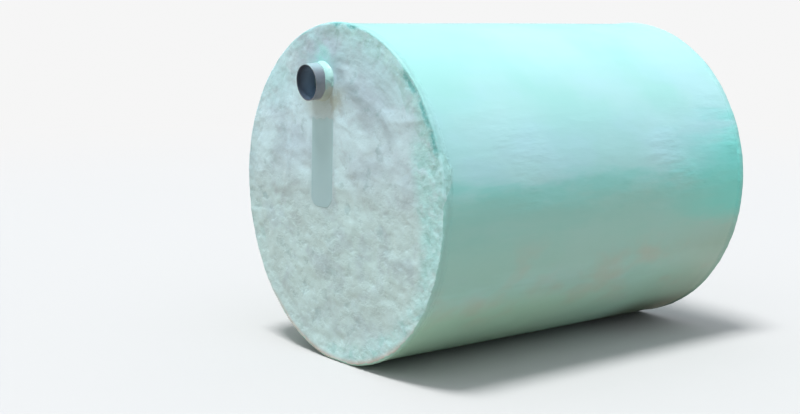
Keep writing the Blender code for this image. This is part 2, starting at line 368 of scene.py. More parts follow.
def end_wall(end, finish):
    """The end wall: rings that grow from the pipe's hole to the rim, their centre sliding from
    the pipe to the tank's axis, so that ring s is the circle of centre (1 - s) P and radius
    r + s (R - r). The face carries the mat's lumps and the outer corner is a quarter circle."""
    angle = around(520)
    hole = end.pipe_radius + 0.3 * MM
    bend = Tank.shell - Tank.corner
    pipe = np.array([end.pipe_y, end.pipe_z - Tank.axis])
    share = np.linspace(0, 1, 140) ** 0.85
    quarter = np.linspace(0, math.pi / 2, 5)[1:]
    back = np.linspace(1, 0, 12)
    s = np.concatenate([share, np.ones_like(quarter), back])
    radius = np.concatenate([
        hole + share * (bend - hole),
        bend + Tank.corner * np.sin(quarter),
        hole + back * (Tank.shell - hole),
    ])
    depth = np.concatenate([
        np.zeros_like(share),
        Tank.corner * (1 - np.cos(quarter)),
        np.full_like(back, Tank.wall),
    ])
    centre = (1 - s)[:, None, None] * pipe
    y = centre[..., 0] + radius[:, None] * np.cos(angle)
    z = centre[..., 1] + radius[:, None] * np.sin(angle)
    y, z = press_belly(y, z)
    x = np.broadcast_to(Tank.face - depth[:, None], y.shape)
    points = np.stack([end.side * x, y, z + Tank.axis], -1)
    front = points[:len(share)]
    raised = laminate_height(front, end.seed) * (1 - strip_bed(end, front)) + root_mat(end, front)
    raised = np.clip(raised - MAT_SET_BACK, -0.6 * Tank.wall, 2 * Tank.bond)
    near_rim = 1 - ramp(share[:, None], 0.97, 1.0)
    front[..., 0] += end.side * raised * near_rim
    return piece(end.label + "_end_laminate", points, finish,
                 [end.label + "_end_wall"])


def strip_bed(end, points):
    """1 on the part of the end that the strip covers, easing to 0 over 20 mm round it."""
    middle = end.pipe_y + strip_lean(end, points[..., 2])
    beside = np.abs(points[..., 1] - middle) - end.strip_half
    below = end.strip_foot - points[..., 2]
    above = points[..., 2] - end.pipe_z
    outside = np.maximum(np.maximum(beside, below), above)
    return 1 - ramp(outside, 0, 0.020)


def strip_lean(end, z):
    """How far the strip has run off to the side at a height: a curve of power 1.5 from the pipe's
    axis down to the strip's foot."""
    drop = np.clip((end.pipe_z - z) / (end.pipe_z - end.strip_foot), 0, 1)
    return STRIP_LEAN * drop ** 1.5


def root_mat(end, points):
    """The mat that laps from the stub's root over the top of the strip: a height with a ragged
    foot that fades to the sides."""
    beside = np.abs(points[..., 1] - end.pipe_y)
    ragged = lumps(points, [(0.07, 0.020, end.seed + 51), (0.02, 0.006, end.seed + 52)])
    foot = end.pipe_z - ROOT_MAT + ragged
    share = ramp(points[..., 2], foot, foot + 0.014) * (1 - ramp(beside, end.strip_half, 0.13))
    share = share * (1 - ramp(points[..., 2], end.pipe_z - 0.03, end.pipe_z + 0.05))
    lumpy = 1 + 0.35 * smooth_noise(points, 0.025, end.seed + 53)
    return ROOT_MAT_HEIGHT * share * lumpy


def corner_bond(end, finish):
    """The mat that wraps the corner. Its section runs across the end's face, round the corner and
    along the shell. Its thickness eases in from a wandering inner edge and out to a ragged outer
    one, and its height over the face is the end wall's own, so that the two run together."""
    angle = around(720, DOWN)
    ring_at = np.stack([0 * angle, np.cos(angle), np.sin(angle)], -1) * Tank.rim
    wander = lumps(ring_at, [(0.20, 0.030, end.seed + 11), (0.05, 0.008, end.seed + 12)])
    edge_radius = MAT_EDGE + wander
    tufts = lumps(ring_at, [(0.045, 0.004, end.seed + 13), (0.014, 0.003, end.seed + 14)])
    bare = bare_patch(end, angle)
    skirt = MAT_SKIRT + 0.010 * bare + tufts * (0.4 + 0.6 * bare)
    bend_x = Tank.face - Tank.corner
    bend_r = Tank.shell - Tank.corner
    reach = Tank.corner + Tank.bond
    share = np.linspace(0, 1, 30)[:, None]
    face_r = edge_radius + share * (bend_r - edge_radius)
    face_x = Tank.face + ramp(share, 0, 1.1) * Tank.bond + 0 * angle
    turn = np.linspace(0, math.pi / 2, 9)[1:-1, None]
    turn_x = bend_x + reach * np.cos(turn) + 0 * angle
    turn_r = bend_r + reach * np.sin(turn) + 0 * angle
    run = np.linspace(0, 1, 20)[:, None]
    side_x = bend_x - run * (skirt - Tank.corner)
    thin = 1 - ramp(run, 0.75 * bare - 0.1, 1.0) * 0.95
    side_r = Tank.shell + Tank.bond * thin - 1.6 * MM * ramp(run, 0.8, 1.0)
    x = np.concatenate([face_x, turn_x, side_x])
    radius = np.concatenate([face_r, turn_r, side_r])
    path = np.concatenate([
        face_r - bend_r - reach * math.pi / 4,
        reach * (turn - math.pi / 4) + 0 * angle,
        reach * math.pi / 4 + run * (skirt - Tank.corner),
    ])
    top = round_axis(end.side * x, radius, angle)
    outward = np.concatenate([np.ones_like(share), np.cos(turn), np.zeros_like(run)])
    dips = shade_mark(end, path, angle)
    raised = laminate_height(top, end.seed)
    sink = np.concatenate([ramp(share, 0, 0.15), np.ones_like(turn), np.ones_like(run)])
    lifted = raised - MAT_SET_BACK + 0.25 * MM * sink - 2.5 * MM * dips
    top[..., 0] += end.side * lifted * outward
    level = np.concatenate([
        np.ones_like(face_x),
        np.ones_like(turn_x),
        1 - ramp(run, 0.5, 0.9) * (1 - bare),
    ])
    coarse = lumps(top, [(0.020, 1.6 * MM, end.seed + 18), (0.010, 0.9 * MM, end.seed + 19)])
    rough = coarse * (0.5 + 0.5 * bare)
    inward = np.minimum(raised * 0.6 + rough - 1.3 * MM, 0) * level - 1.5 * MM * dips
    inward = np.maximum(inward, -0.8 * (radius - Tank.shell)) * (1 - outward)
    top[..., 1] += inward * np.cos(angle)
    top[..., 2] += inward * np.sin(angle)
    back_run = np.linspace(1, 0, 5)[:, None]
    back_turn = np.linspace(math.pi / 2, 0, 5)[1:-1, None]
    back_share = np.linspace(1, 0, 6)[:, None]
    slack = Tank.corner + 0.3 * MM
    back_x = np.concatenate([
        bend_x - back_run * (skirt - Tank.corner),
        bend_x + slack * np.cos(back_turn) + 0 * angle,
        Tank.face - 0.8 * Tank.wall + 0 * back_share * angle,
    ])
    back_r = np.concatenate([
        Tank.shell - 2.5 * MM + 0 * back_run * angle,
        bend_r + slack * np.sin(back_turn) + 0 * angle,
        edge_radius + back_share * (bend_r - edge_radius),
    ])
    grid = np.concatenate([top, round_axis(end.side * back_x, back_r, angle)])
    grid[..., 2] = np.maximum(grid[..., 2], 0)
    marks = {
        "paint": np.concatenate([paint_mark(end, path, top, bare), np.ones_like(back_x)]),
        "shade": np.concatenate([dips, np.zeros_like(back_x)]),
    }
    return piece(end.label + "_corner_mat", grid, finish,
                 [end.label + "_corner_bond"], marks=marks)


def bare_patch(end, angle):
    """1 where the mat comes through unpainted on the shell's side: one hand's breadth of the inlet
    rim, just above half way up on the side away from the pipe."""
    if end.label == "outlet":
        return np.zeros_like(angle)
    degrees = np.degrees(angle)
    spread = np.exp(-((degrees - BARE_AT) / BARE_BREADTH) ** 6)
    return spread * (0.7 + 0.3 * np.cos((degrees - BARE_AT + 1.5) / 2.6))


def shade_mark(end, path, angle):
    """1 in the gaps under the mat's lifted edges: short arcs at a given angle, width and distance
    along the section, each fading out like a bell curve."""
    total = np.zeros(path.shape)
    if end.label == "outlet":
        return total
    degrees = np.degrees(angle)
    for middle, width, along, spread in RIM_GAPS:
        curve = along + 0.006 * ((degrees - middle) / width) ** 2
        off = (path - curve) / spread
        total = np.maximum(total, np.exp(-((degrees - middle) / width) ** 4 - off ** 2))
    return total


def paint_mark(end, path, points, bare):
    """From 0 on bare mat to 1 on painted: the shell's paint comes up to the corner with a ragged
    edge, and stays off the bare patch."""
    ragged = lumps(points, [(0.030, 0.005, end.seed + 16), (0.010, 0.003, end.seed + 17)])
    start = -0.006 + 0.054 * bare
    return ramp(path - start + ragged * (1 + 2 * bare), -0.003, 0.003)


def pipe_stub(end, finish):
    """The stub: a tube whose section is four straight sides with small rounded edges, turned
    about the pipe's axis. It hangs a little, and is sawn out of square at its mouth: the further
    down a point lies, the shorter the tube."""
    angle = around(144)
    root = Tank.face - Tank.wall
    outer = end.pipe_radius - 0.05 * MM
    inner = outer - PIPE_WALL
    quarter = np.linspace(0, math.pi / 2, 5)
    run = np.linspace(root, end.mouth - 4 * MM, 24)
    lip_x = end.mouth - PIPE_LIP * (1 - np.sin(quarter))
    lip_in = PIPE_LIP * (1 - np.cos(quarter))
    x = np.concatenate([run, lip_x, lip_x[::-1], run[::-1]])[:, None]
    radius = np.concatenate([
        np.full_like(run, outer),
        outer - lip_in,
        inner + lip_in[::-1],
        np.full_like(run, inner),
    ])[:, None]
    y = radius * np.cos(angle)
    z = radius * np.sin(angle)
    free = np.clip((x - Tank.face) / (end.mouth - Tank.face), 0, 1)
    saw = OUT_OF_SQUARE * (z - end.pipe_radius) + 0.3 * MM * (np.sin(2 * angle + 1) - 1)
    grid = np.stack([
        end.side * (x + saw * free),
        end.pipe_y + y,
        end.pipe_z + z - PIPE_SAG * free ** 2,
    ], -1)
    inside = np.repeat([0.0, 1.0], len(run) + len(quarter))[:, None] + 0 * angle
    return piece(end.label + "_pipe_stub", grid, finish, [end.label + "_pipe"],
                 marks={"inside": inside})


def pipe_collar(end, finish):
    """The painted sleeve of mat, close round the stub: at a share t of its length its radius is
    the sleeve's own plus (1 - t)^3 of the small flare at its foot. Tip and foot wander, and the
    skin is as lumpy as the mat that it is laid from."""
    angle = around(240)
    ring_at = np.stack([0 * angle, np.cos(angle), np.sin(angle)], -1) * 0.1
    inner = end.pipe_radius + 0.1 * MM
    length = end.collar_tip - Tank.face
    tip = length * (0.84 + 0.13 * smooth_noise(ring_at, 0.05, end.seed + 21))
    foot = end.collar_radius - FOOT_INSIDE
    foot = foot + 3 * MM * smooth_noise(ring_at, 0.045, end.seed + 22)
    sleeve = inner + SLEEVE
    share = np.linspace(0, 1, 30)[:, None]
    x = Tank.face + tip * share
    radius = sleeve + (foot - sleeve) * (1 - share) ** 3
    grid = around_pipe(end, x, radius, angle)
    raised = lumps(grid, [(0.030, 1.5 * MM, end.seed + 23), (0.012, 0.8 * MM, end.seed + 24)])
    at_foot = ramp(share, 0, 0.12)
    x = x + raised * at_foot * 0.5
    radius = np.maximum(radius + raised * at_foot * 0.8, inner + 1.0 * MM)
    lip_turn = np.linspace(0, math.pi / 2, 5)[1:, None]
    lip = radius[-1] - inner
    lip_x = x[-1] + 1.5 * MM * np.sin(lip_turn)
    lip_r = inner + lip * np.cos(lip_turn)
    back_share = np.linspace(0, 1, 5)[:, None]
    back_x = Tank.face - TUCK + 0 * back_share * angle
    back_r = inner + back_share * (foot - inner)
    x = np.concatenate([x, lip_x, back_x])
    radius = np.concatenate([radius, lip_r, back_r])
    return piece(end.label + "_collar", around_pipe(end, x, radius, angle), finish,
                 [end.label + "_pipe_collar"])


def around_pipe(end, x, radius, angle):
    """Points at a distance from the pipe's axis."""
    y = end.pipe_y + radius * np.cos(angle)
    z = end.pipe_z + radius * np.sin(angle)
    return np.stack([end.side * x, y, z], -1)


def strip(end, finish):
    """The smooth strip: a height over a grid of y and z. Columns close up towards the edges by a
    cosine, the foot has rounded corners and runs off to the side, the top follows the collar, and
    the height rises from the edge as a quarter circle. A second, plain layer closes it behind."""
    half = end.strip_half
    across = -half * np.cos(np.linspace(0, math.pi, 45))
    over = np.clip(np.abs(across) - (half - STRIP_ROUNDING), 0, STRIP_ROUNDING)
    foot = end.strip_foot + STRIP_ROUNDING - np.sqrt(STRIP_ROUNDING ** 2 - over ** 2)
    top = end.pipe_z - np.sqrt((end.collar_radius - 10 * MM) ** 2 - across ** 2)
    share = (1 - np.cos(np.linspace(0, math.pi, 91)))[:, None] / 2
    z = foot + share * (top - foot)
    y = np.broadcast_to(across, z.shape)
    from_edge = np.minimum(np.minimum(half - np.abs(y), z - foot), top - z)
    y = y + strip_lean(end, z)
    inward = np.clip(from_edge, 0, STRIP_SOFT) / STRIP_SOFT
    rise = np.sqrt(np.maximum(1 - (1 - inward) ** 2, 0))
    points = np.stack([end.side * np.full_like(z, Tank.face), y + end.pipe_y, z], -1)
    sway = 0.25 * MM * smooth_noise(points, 0.09, end.seed + 31)
    front = Tank.face - TUCK + rise * (STRIP_HEIGHT + TUCK + sway * inward)
    back = np.full_like(front, Tank.face - TUCK - 0.1 * MM)
    front_grid = np.stack([end.side * front, y + end.pipe_y, z], -1)
    back_grid = np.stack([end.side * back, y + end.pipe_y, z], -1)[:, ::-1]
    return piece(end.label + "_smooth_strip", wrap_ends(front_grid, back_grid), finish,
                 [end.label + "_baffle_strip"], closed=(False, True))


def wrap_ends(front, back):
    """Joins a front and a back layer side by side and draws both ends together to close them."""
    grid = np.concatenate([front, back], axis=1)
    first = np.concatenate([front[:1], front[:1, ::-1]], axis=1)
    last = np.concatenate([front[-1:], front[-1:, ::-1]], axis=1)
    return np.concatenate([first, grid, last])


class Finish:
    """A Principled material, with short ways to add the nodes that it needs."""

    def __init__(self, name, roughness=0.5):
        self.material = bpy.data.materials.new(name)
        self.material.use_nodes = True
        self.tree = self.material.node_tree
        self.shader = self.tree.nodes["Principled BSDF"]
        self.shader.inputs["Roughness"].default_value = roughness
        self.place = self.add("ShaderNodeTexCoord").outputs["Object"]

    def add(self, kind, inputs=(), **settings):
        """Adds a node, sets its properties, and sets or links its inputs."""
        node = self.tree.nodes.new(kind)
        for key, value in settings.items():
            setattr(node, key, value)
        for key, value in dict(inputs).items():
            socket = node.inputs[key]
            if isinstance(value, bpy.types.NodeSocket):
                self.tree.links.new(value, socket)
            else:
                socket.default_value = value
        return node

    def turned(self, scale=(1, 1, 1), rotation=(0, 0, 0), location=(0, 0, 0)):
        values = {"Vector": self.place, "Scale": scale, "Rotation": rotation, "Location": location}
        return self.add("ShaderNodeMapping", values).outputs["Vector"]

    def noise(self, size, detail=2.0, rough=0.5, vector=None, swirl=0.0):
        """Fractal noise whose largest features are about this many metres across."""
        values = {
            "Vector": vector or self.place,
            "Scale": 1 / size,
            "Detail": detail,
            "Roughness": rough,
            "Distortion": swirl,
        }
        return self.add("ShaderNodeTexNoise", values).outputs["Fac"]

    def remap(self, value, low, high, to_low=0.0, to_high=1.0):
        values = {"Value": value, 1: low, 2: high, 3: to_low, 4: to_high}
        node = self.add("ShaderNodeMapRange", values, interpolation_type="SMOOTHSTEP")
        return node.outputs["Result"]

    def math(self, operation, a, b=0.0):
        return self.add("ShaderNodeMath", {0: a, 1: b}, operation=operation).outputs["Value"]

    def times(self, product, *factors):
        for factor in factors:
            product = self.math("MULTIPLY", product, factor)
        return product

    def within(self, value, low, rise, fall, high):
        """1 between rise and fall, easing to 0 at low and at high."""
        return self.times(self.remap(value, low, rise), self.remap(value, high, fall))

    def between(self, share, first, second):
        """Mixes two plain values."""
        values = {"Factor": share, 2: first, 3: second}
        return self.add("ShaderNodeMix", values).outputs[0]

    def mix(self, share, first, second):
        values = {"Factor": share, 6: colour(first), 7: colour(second)}
        return self.add("ShaderNodeMix", values, data_type="RGBA").outputs[2]

    def axis(self, name):
        return self.add("ShaderNodeSeparateXYZ", {"Vector": self.place}).outputs[name]

    def bump(self, height, distance, normal=None):
        values = {"Height": height, "Distance": distance, "Strength": 1.0}
        if normal:
            values["Normal"] = normal
        return self.add("ShaderNodeBump", values).outputs["Normal"]

    def mark(self, name):
        return self.add("ShaderNodeAttribute", attribute_name=name).outputs["Fac"]

    def round_rim(self, stretch):
        """A vector of distance from the tank's axis and of angle round it, so that a texture on
        it runs along the rim, drawn out by the stretch."""
        split = self.add("ShaderNodeSeparateXYZ", {"Vector": self.place})
        up = self.math("SUBTRACT", split.outputs["Z"], Tank.axis)
        angle = self.math("ARCTAN2", up, split.outputs["Y"])
        along = self.times(angle, Tank.rim / stretch)
        values = {"X": self.distance_from(0, Tank.axis), "Y": along}
        return self.add("ShaderNodeCombineXYZ", values).outputs["Vector"]

    def distance_from(self, y, z):
        """How far a point lies from a line along X."""
        split = self.add("ShaderNodeSeparateXYZ", {"Vector": self.turned(location=(0, -y, -z))})
        flat = self.add("ShaderNodeCombineXYZ", {"Y": split.outputs["Y"], "Z": split.outputs["Z"]})
        length = self.add("ShaderNodeVectorMath", {0: flat.outputs["Vector"]}, operation="LENGTH")
        return length.outputs["Value"]

    def wear(self, **sockets):
        """Links sockets to the shader's inputs, and gives the finished material."""
        names = {"base": "Base Color", "roughness": "Roughness", "normal": "Normal"}
        for key, value in sockets.items():
            self.tree.links.new(value, self.shader.inputs[names[key]])
        return self.material


def colour(value):
    """A colour with its alpha, or a socket as it is."""
    return value if isinstance(value, bpy.types.NodeSocket) else (*value, 1.0)


def shell_tone(made):
    """The shell's paint: cool in random patches, and paler and bluer on its upper side as
    painted sky light. Painted shade deepens it in a streaky band half way up, on its lower side
    and towards the outlet end, where it is also dimmer low down. It is greener at the foot, and
    low down it lies under a thin, patchy reddish film that is partly dust and partly painted warm
    light from the ground. Low at the outlet end it is darkened by painted shade that is partly
    grime."""
    height = made.axis("Z")
    along = made.axis("X")
    shade = made.remap(made.noise(0.50, 3), 0.35, 0.65)
    tone = made.mix(shade, AQUA, AQUA_DEEP)
    bluish = made.noise(0.22, 3, 0.5, made.turned(scale=(0.5, 1, 1), location=(7, 0, 0)))
    # Painted sky light: paler and bluer on the upper side, where the sky lights it most
    sky_lit = made.times(made.within(height, 0.70, 0.84, 1.00, 1.20), 0.3)
    cool = made.math("ADD", made.remap(bluish, 0.46, 0.66, 0.0, 0.22), sky_lit)
    tone = made.mix(cool, tone, AQUA_BLUE)
    foot = made.remap(height, 0.42, 0.24)
    foot = made.times(foot, made.remap(along, 0.40, -0.30, 0.5, 1.0))
    tone = made.mix(foot, tone, AQUA_FOOT)
    # Painted shade: the darker, greener band half way up stands in for the shade where the shell
    # turns from the light
    streak = made.noise(0.16, 4, 0.6, made.turned(scale=(0.22, 1, 1)))
    swayed = made.math("ADD", height, made.remap(streak, 0.3, 0.7, -0.06, 0.06))
    wisps = made.noise(0.10, 4, 0.6, made.turned(scale=(0.35, 1, 1), location=(3, 0, 0)))
    wisps = made.remap(wisps, 0.38, 0.60, 0.45, 1.1)
    band = made.times(made.within(swayed, 0.55, 0.70, 0.77, 0.90), wisps, 0.85)
    tone = made.mix(band, tone, AQUA_BAND)
    # Painted shade: darker on the lower side of the shell
    under = made.times(made.within(swayed, 0.28, 0.46, 0.68, 0.86), 0.65)
    tone = made.mix(under, tone, AQUA_LOW)
    # Painted shade: the band deepens towards the outlet end
    far = made.remap(along, 0.25, 0.90)
    deep = made.times(made.within(swayed, 0.56, 0.70, 0.94, 1.10), far, 0.70)
    tone = made.mix(deep, tone, AQUA_FAR)
    # Painted shade: dimmer low down towards the outlet end
    dim = made.times(made.remap(height, 0.62, 0.45), far, 0.35)
    tone = made.mix(dim, tone, AQUA_DIM)
    # Painted shade near the floor at the outlet end, partly grime
    grime_and_shade = made.times(made.remap(height, 0.21, 0.09), made.remap(along, 0.30, 0.62), 0.8)
    tone = made.mix(grime_and_shade, tone, AQUA_GRIME_AND_SHADE)
    # A reddish film low down: partly dust, partly painted warm light bounced from the ground
    film = made.remap(made.noise(0.26, 3, 0.55, made.turned(scale=(0.7, 1, 1))), 0.46, 0.68)
    film = made.times(film, made.within(height, 0.14, 0.34, 0.44, 0.66), 0.30)
    return made.mix(film, tone, DUST)


def gelcoat_finish():
    """Glossy aqua over a surface that is never quite flat, most of all in drawn-out creases on
    the upper half of its sides, towards the outlet end."""
    made = Finish("aqua gelcoat")
    gloss = made.remap(made.noise(0.30, 4, 0.6), 0.3, 0.7, 0.29, 0.37)
    long_waves = made.noise(0.16, 2, 0.5, made.turned(scale=(0.30, 1, 1)))
    drawn = made.noise(0.060, 3, 0.55, made.turned(scale=(0.30, 1, 1), rotation=(0, 0.25, 0)))
    creased = made.times(
        made.within(made.axis("Z"), 0.62, 0.78, 0.95, 1.28),
        made.remap(made.noise(0.35, 2), 0.45, 0.65, 0.3, 1.0),
        made.remap(made.axis("X"), 0.2, 0.8, 0.85, 1.5),
    )
    normal = made.bump(long_waves, 4.0 * MM)
    normal = made.bump(made.times(drawn, creased), 7.0 * MM, normal)
    return made.wear(base=shell_tone(made), roughness=gloss, normal=normal)


def rim_share(made, low, high):
    """Rises from 0 to 1 with the distance from the tank's axis."""
    return made.remap(made.distance_from(0, Tank.axis), low, high)


def laminate(made, end):
    """The bare mat's colour, gloss and fine relief. It is pale blue-grey with swirls of lilac and
    grey, streaks that sweep round near the rim, pits and pale flecks, and painted shade that makes
    it darker and greener low down. Over that lie a mint cast in a coarse band along the rim on the
    side away from the stub, aqua overspray near the top, a splash of paint above the stub, stains
    under it that are partly the stub's painted shadow, and soil along the foot of the rim."""
    shifted = made.turned(scale=DRAWN_OUT, location=(0, end.seed * 0.031, end.seed * 0.017))
    height = made.axis("Z")
    broad = made.remap(made.noise(0.33, 3, 0.5, shifted), 0.40, 0.62)
    patch = made.remap(made.noise(0.12, 4, 0.58, shifted, 0.5), 0.46, 0.70)
    tone = made.mix(broad, GLASS_PALE, GLASS_LILAC)
    # Painted shade: darker and greener low down on the end
    tone = made.mix(made.remap(height, 1.15, 0.55, 0.0, 0.78), tone, GLASS_LOW_SHADE)
    tone = made.mix(made.times(patch, 0.60), tone, GLASS_GREY)
    sweep = made.noise(0.10, 3, 0.55, made.round_rim(5), 0.2)
    swept = made.times(
        made.within(height, 0.92, 1.12, 1.34, 1.44),
        made.remap(made.axis("Y"), 0.12, -0.04),
        rim_share(made, 0.30, 0.45),
    )
    streaks = made.times(swept, made.remap(sweep, 0.44, 0.64, 0.35, 1.0))
    tone = made.mix(streaks, tone, GLASS_GREY)
    crumbs = made.noise(0.045, 3, 0.60, shifted, 0.15)
    sparse = made.remap(made.noise(0.25, 3, 0.6, shifted), 0.44, 0.60, 0.1, 0.45)
    tone = made.mix(made.times(made.remap(crumbs, 0.45, 0.30), sparse), tone, GLASS_PIT)
    away = made.remap(made.axis("Y"), 0.30, -0.20, 0.15, 1.0)
    reach = made.times(
        made.remap(height, 1.12, 0.95, 0.035, 0.140),
        away,
        made.remap(height, 0.45, 0.75, 0.35, 1.0),
    )
    off_axis = made.math("ADD", made.distance_from(0, Tank.axis), reach)
    rim = made.times(made.remap(off_axis, 0.665, 0.755), away)
    foot = made.remap(height, 0.22, 0.70, 0.50, 1.0)
    ragged = made.remap(made.noise(0.06, 4, 0.6, shifted), 0.30, 0.58, 0.35, 1.0)
    tone = made.mix(made.times(rim, ragged, foot, 0.85), tone, GLASS_MINT)
    spray = made.times(
        made.remap(height, 1.00, 1.22),
        rim_share(made, 0.45, 0.72),
        made.remap(made.noise(0.14, 3, 0.5, shifted), 0.40, 0.62),
        0.75,
    )
    tone = made.mix(spray, tone, GLASS_SPRAY)
    splash = made.times(
        made.remap(made.distance_from(end.pipe_y, end.pipe_z + 0.09), 0.13, 0.03),
        made.remap(made.noise(0.07, 3, 0.6, shifted), 0.28, 0.66),
    )
    tone = made.mix(splash, tone, GLASS_MINT)
    granular = made.remap(height, 1.0, 0.6, 0.4, 1.0)
    fleck = made.remap(made.noise(0.024, 3, 0.6, shifted), 0.48, 0.70, 0.0, 0.24)
    tone = made.mix(made.times(fleck, granular), tone, GLASS_LIGHT)
    bits = made.noise(0.045, 2, 0.5, shifted, 0.6)
    pale_bits = made.times(made.remap(bits, 0.52, 0.68, 0.0, 0.60), rim)
    pale_bits = made.times(pale_bits, made.remap(foot, 0.50, 1.0, 0.2, 1.0))
    dark_bits = made.times(made.remap(bits, 0.48, 0.33, 0.0, 0.60), rim)
    tone = made.mix(pale_bits, tone, MINT_LIGHT)
    tone = made.mix(dark_bits, tone, MINT_DARK)
    # Under the stub: a stain that is partly the stub's painted shadow
    drop = made.math("SUBTRACT", end.pipe_z, height)
    under = made.times(
        made.remap(made.distance_from(end.pipe_y, end.pipe_z), 0.220, 0.130),
        made.remap(drop, -0.01, 0.06),
        made.remap(patch, 0.0, 1.0, 0.5, 0.9),
    )
    tone = made.mix(under, tone, STAIN_AND_SHADE)
    soil = made.times(made.remap(height, 0.34, 0.05), rim_share(made, 0.715, 0.745), 0.75)
    tone = made.mix(soil, tone, DUST)
    raised = made.times(made.remap(crumbs, 0.30, 0.56), granular)
    coarse = made.times(made.noise(0.032, 3, 0.6, shifted), rim)
    normal = made.bump(made.noise(0.07, 3, 0.50, shifted), 4.0 * MM)
    normal = made.bump(raised, 1.1 * MM, normal)
    normal = made.bump(made.times(sweep, swept), 6.0 * MM, normal)
    normal = made.bump(made.noise(0.012, 3, 0.6, shifted), 0.4 * MM, normal)
    normal = made.bump(coarse, 4.0 * MM, normal)
    gloss = made.remap(patch, 0.0, 1.0, 0.62, 0.45)
    return tone, gloss, normal


def laminate_finish(end):
    made = Finish(end.label + " laminate")
    tone, gloss, normal = laminate(made, end)
    return made.wear(base=tone, roughness=gloss, normal=normal)


def corner_finish(end):
    """The corner mat: bare like the end where its paint mark is 0, the shell's paint where it is 1,
    with painted shade darkening that paint towards the end's face to tone down the corner's
    highlight, and dark teal, painted shade, in the gaps that its shade mark gives."""
    made = Finish(end.label + " corner mat")
    tone, gloss, normal = laminate(made, end)
    along = made.math("ABSOLUTE", made.axis("X"))
    beside = made.remap(along, Tank.face + 0.002, Tank.face - 0.006, 0.0, 0.85)
    clumps = made.remap(made.noise(0.03, 3), 0.4, 0.6)
    tone = made.mix(beside, tone, made.mix(clumps, MINT_DARK, GLASS_MINT))
    mark = made.mark("paint")
    frayed = made.math("ADD", mark, made.remap(made.noise(0.010, 3, 0.6), 0.3, 0.7, -0.2, 0.2))
    painted = made.remap(frayed, 0.35, 0.65)
    # Painted shade: the paint darkens towards the end's face, toning down the corner's highlight
    corner = made.remap(along, Tank.face - 0.030, Tank.face - 0.004, 0.0, 0.45)
    tone = made.mix(painted, tone, made.mix(corner, shell_tone(made), MINT_DARK))
    broken = made.remap(made.noise(0.018, 3, 0.6), 0.35, 0.55, 0.40, 1.0)
    # Painted shade in the gaps under the mat's lifted edges
    tone = made.mix(made.times(made.mark("shade"), broken), tone, SHADE_TEAL)
    gloss = made.between(painted, gloss, 0.6)
    return made.wear(base=tone, roughness=gloss, normal=normal)


def collar_finish(end):
    """Bright paint on the upper side of the sleeve, towards the side with less of the end; the
    rest is mat like the end's, stained below. The grey-teal edge of the paint and the stain below
    are partly painted shade on the sleeve's lower side."""
    made = Finish(end.label + " collar")
    tone, gloss, normal = laminate(made, end)
    up = made.math("SUBTRACT", made.axis("Z"), end.pipe_z)
    aside = made.math("SUBTRACT", end.pipe_y, made.axis("Y"))
    ragged = made.remap(made.noise(0.035, 4, 0.6), 0.3, 0.7, -0.03, 0.03)
    lean = made.math("ADD", made.math("ADD", up, made.times(aside, 0.6)), ragged)
    # Partly painted shade: the sleeve's lower side turns darker and olive, partly as stain
    stain_and_shade = made.remap(made.math("ADD", up, ragged), 0.03, -0.05)
    tone = made.mix(made.times(stain_and_shade, 0.75), tone, STAIN_AND_SHADE)
    # A grey-teal edge round the paint, partly painted shade
    edge = made.remap(lean, 0.0, 0.035)
    tone = made.mix(made.times(edge, 0.8), tone, PAINT_EDGE)
    painted = made.remap(lean, 0.025, 0.055)
    tone = made.mix(painted, tone, PAINT_BRIGHT)
    gloss = made.between(painted, gloss, 0.36)
    return made.wear(base=tone, roughness=gloss, normal=normal)


def strip_finish():
    """Smooth grey-teal, with soft clouding, faint drawn lines and a few scuffs."""
    made = Finish("smooth strip")
    cloud = made.remap(made.noise(0.14, 2), 0.35, 0.65)
    tone = made.mix(cloud, STRIP_TEAL, STRIP_PALE)
    tone = made.mix(made.remap(made.axis("Z"), 1.00, 0.72), tone, STRIP_LOW)
    scuff = made.remap(made.noise(0.02, 4, 0.7, made.turned(scale=(1, 1, 0.25))), 0.62, 0.78)
    tone = made.mix(made.times(scuff, 0.2), tone, GLASS_PALE)
    # Near its top the strip is stained, partly as the stub's painted shadow
    wavy = made.math("ADD", made.axis("Z"), made.remap(made.noise(0.05, 3), 0.3, 0.7, -0.02, 0.02))
    stain_and_shade = made.remap(wavy, STRIP_STAIN_AND_SHADE_FROM, STRIP_STAIN_AND_SHADE_FROM + 0.07)
    tone = made.mix(made.times(stain_and_shade, 0.75), tone, STAIN_AND_SHADE)
    normal = made.bump(made.noise(0.004, 2, 0.5, made.turned(scale=(1, 1, 0.1))), 0.05 * MM)
    return made.wear(base=tone, roughness=made.remap(cloud, 0, 1, 0.46, 0.56), normal=normal)


